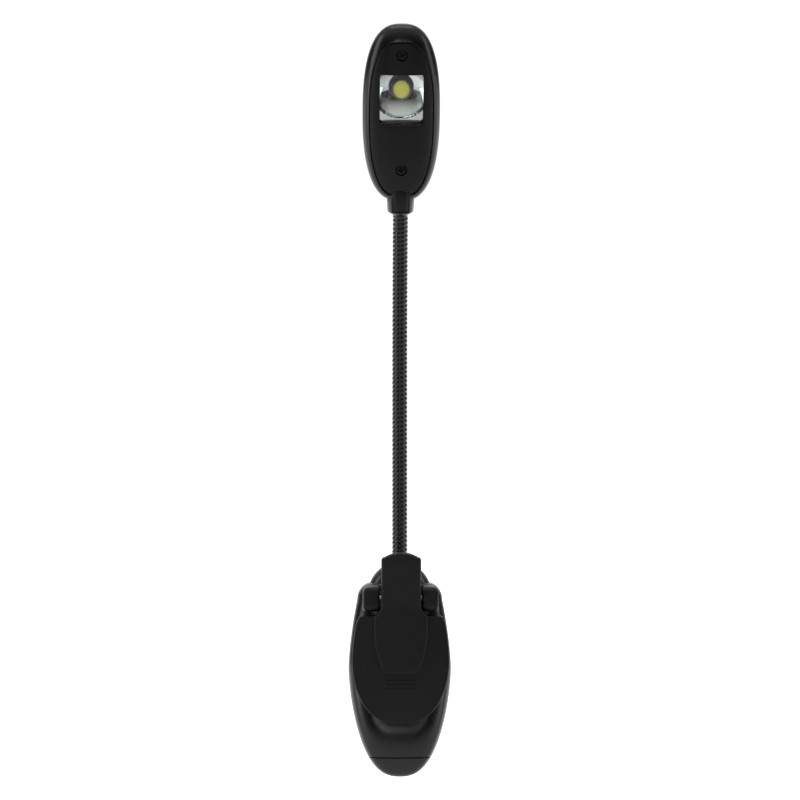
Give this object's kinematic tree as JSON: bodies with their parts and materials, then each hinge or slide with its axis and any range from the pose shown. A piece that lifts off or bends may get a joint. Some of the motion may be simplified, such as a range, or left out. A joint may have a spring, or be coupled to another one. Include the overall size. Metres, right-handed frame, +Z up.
{
  "type": "clip-on reading lamp",
  "caption": "Clip-on reading lamp: a slim battery base with a sprung thumb clip, a straight gooseneck and an oval lamp head with a small square light window.",
  "frame": {"origin": "middle of the clip's pinch line, where the jaw pad meets the pad of the base", "axes": "+Z up along the gooseneck, -Y towards the front (jaw side), +X to the right seen from the front"},
  "size_m": [0.037, 0.04, 0.2691],
  "materials": {
    "shell_plastic": "satin moulded",
    "matt_plastic": "fine spark texture",
    "gooseneck": "black satin",
    "pad_rubber": "matt",
    "steel": "plain",
    "screw_steel": "black oxide",
    "contact_metal": "nickel plated",
    "cell_can": "printed sleeve, plain",
    "board": "solder mask",
    "reflector_metal": "vacuum metallised",
    "lens": "clear polished",
    "led_case": "white",
    "led_phosphor": "yellow phosphor under clear dome",
    "component": "moulded",
    "lead": "insulated wire"
  },
  "bodies": {
    "base": {"base_front_shell": "shell_plastic", "base_back_shell": "shell_plastic", "cell_1": "cell_can", "cell_2": "cell_can", "contact_bridge": "contact_metal", "contact_spring": "contact_metal", "contact_plate": "contact_metal", "driver_board": "board", "inductor": "component", "base_screws": "screw_steel", "neck_ferrule": "steel", "neck_foot": "gooseneck", "base_leads": "lead", "base_pad": "pad_rubber", "hinge_pin": "steel", "torsion_spring": "steel"},
    "lever": {"clip_lever": "matt_plastic", "jaw_pad": "pad_rubber", "torsion_spring_arm": "steel"},
    "door": {"battery_door": "shell_plastic"},
    "head": {"neck_end": "gooseneck", "head_ferrule": "steel", "head_leads": "lead", "head_shell": "shell_plastic", "head_cover": "matt_plastic", "window_lens": "lens", "reflector": "reflector_metal", "led_package": "led_case", "led_dome": "led_phosphor", "led_board": "board", "resistor": "component", "switch_body": "component", "cover_screws": "screw_steel"},
    "button": {"switch_button": "matt_plastic"},
    "neck_1": {"neck_link_1": "gooseneck", "neck_leads_1": "lead"},
    "neck_2": {"neck_link_2": "gooseneck", "neck_leads_2": "lead"},
    "neck_3": {"neck_link_3": "gooseneck", "neck_leads_3": "lead"},
    "neck_4": {"neck_link_4": "gooseneck", "neck_leads_4": "lead"},
    "neck_5": {"neck_link_5": "gooseneck", "neck_leads_5": "lead"},
    "neck_6": {"neck_link_6": "gooseneck", "neck_leads_6": "lead"},
    "neck_7": {"neck_link_7": "gooseneck", "neck_leads_7": "lead"},
    "neck_8": {"neck_link_8": "gooseneck", "neck_leads_8": "lead"},
    "neck_9": {"neck_link_9": "gooseneck", "neck_leads_9": "lead"},
    "neck_10": {"neck_link_10": "gooseneck", "neck_leads_10": "lead"},
    "neck_11": {"neck_link_11": "gooseneck", "neck_leads_11": "lead"}
  },
  "joints": [
    {"name": "neck_fore_1", "type": "hinge", "parent": "base", "child": "neck_1", "pos_m": [0, 0.0085, 0.0611], "axis": [1, 0, 0], "range_deg": [-18, 18]},
    {"name": "neck_fore_2", "type": "hinge", "parent": "neck_1", "child": "neck_2", "pos_m": [0, 0.0085, 0.0715], "axis": [1, 0, 0], "range_deg": [-18, 18]},
    {"name": "neck_side_1", "type": "hinge", "parent": "neck_2", "child": "neck_3", "pos_m": [0, 0.0085, 0.0819], "axis": [0, 1, 0], "range_deg": [-22, 22]},
    {"name": "neck_fore_3", "type": "hinge", "parent": "neck_3", "child": "neck_4", "pos_m": [0, 0.0085, 0.0923], "axis": [1, 0, 0], "range_deg": [-18, 18]},
    {"name": "neck_fore_4", "type": "hinge", "parent": "neck_4", "child": "neck_5", "pos_m": [0, 0.0085, 0.1027], "axis": [1, 0, 0], "range_deg": [-18, 18]},
    {"name": "neck_side_2", "type": "hinge", "parent": "neck_5", "child": "neck_6", "pos_m": [0, 0.0085, 0.1131], "axis": [0, 1, 0], "range_deg": [-22, 22]},
    {"name": "neck_fore_5", "type": "hinge", "parent": "neck_6", "child": "neck_7", "pos_m": [0, 0.0085, 0.1235], "axis": [1, 0, 0], "range_deg": [-18, 18]},
    {"name": "neck_fore_6", "type": "hinge", "parent": "neck_7", "child": "neck_8", "pos_m": [0, 0.00799, 0.13389], "axis": [1, 0, 0], "range_deg": [-18, 18]},
    {"name": "neck_side_3", "type": "hinge", "parent": "neck_8", "child": "neck_9", "pos_m": [0, 0.00696, 0.14424], "axis": [0, 0.989, 0.1478], "range_deg": [-22, 22]},
    {"name": "neck_fore_7", "type": "hinge", "parent": "neck_9", "child": "neck_10", "pos_m": [0, 0.00542, 0.15452], "axis": [1, 0, 0], "range_deg": [-18, 18]},
    {"name": "neck_fore_8", "type": "hinge", "parent": "neck_10", "child": "neck_11", "pos_m": [0, 0.00338, 0.16472], "axis": [1, 0, 0], "range_deg": [-18, 18]},
    {"name": "neck_side_4", "type": "hinge", "parent": "neck_11", "child": "head", "pos_m": [0, 0.00083, 0.1748], "axis": [0, 0.9563, 0.2924], "range_deg": [-22, 22]},
    {"name": "clip_hinge", "type": "hinge", "parent": "base", "child": "lever", "pos_m": [0, -0.0037, 0.043], "axis": [-1, 0, 0], "range_deg": [0, 28], "stiffness_Nm_per_rad": 0.2, "springref_deg": -34.38},
    {"name": "battery_door_hinge", "type": "hinge", "parent": "base", "child": "door", "pos_m": [0, 0.015, -0.008], "axis": [-1, 0, 0], "range_deg": [0, 85]},
    {"name": "switch_press", "type": "slide", "parent": "head", "child": "button", "axis": [0, -0.9563, -0.2924], "range_m": [0, 0.001], "stiffness_N_per_m": 300, "springref_m": -0.001}
  ],
  "couplings": [
    {"joint": "neck_fore_2", "follows": "neck_fore_1", "ratio": 1},
    {"joint": "neck_fore_3", "follows": "neck_fore_1", "ratio": 1},
    {"joint": "neck_fore_4", "follows": "neck_fore_1", "ratio": 1},
    {"joint": "neck_fore_6", "follows": "neck_fore_5", "ratio": 1},
    {"joint": "neck_fore_7", "follows": "neck_fore_5", "ratio": 1},
    {"joint": "neck_fore_8", "follows": "neck_fore_5", "ratio": 1},
    {"joint": "neck_side_2", "follows": "neck_side_1", "ratio": 1},
    {"joint": "neck_side_4", "follows": "neck_side_3", "ratio": 1}
  ]
}
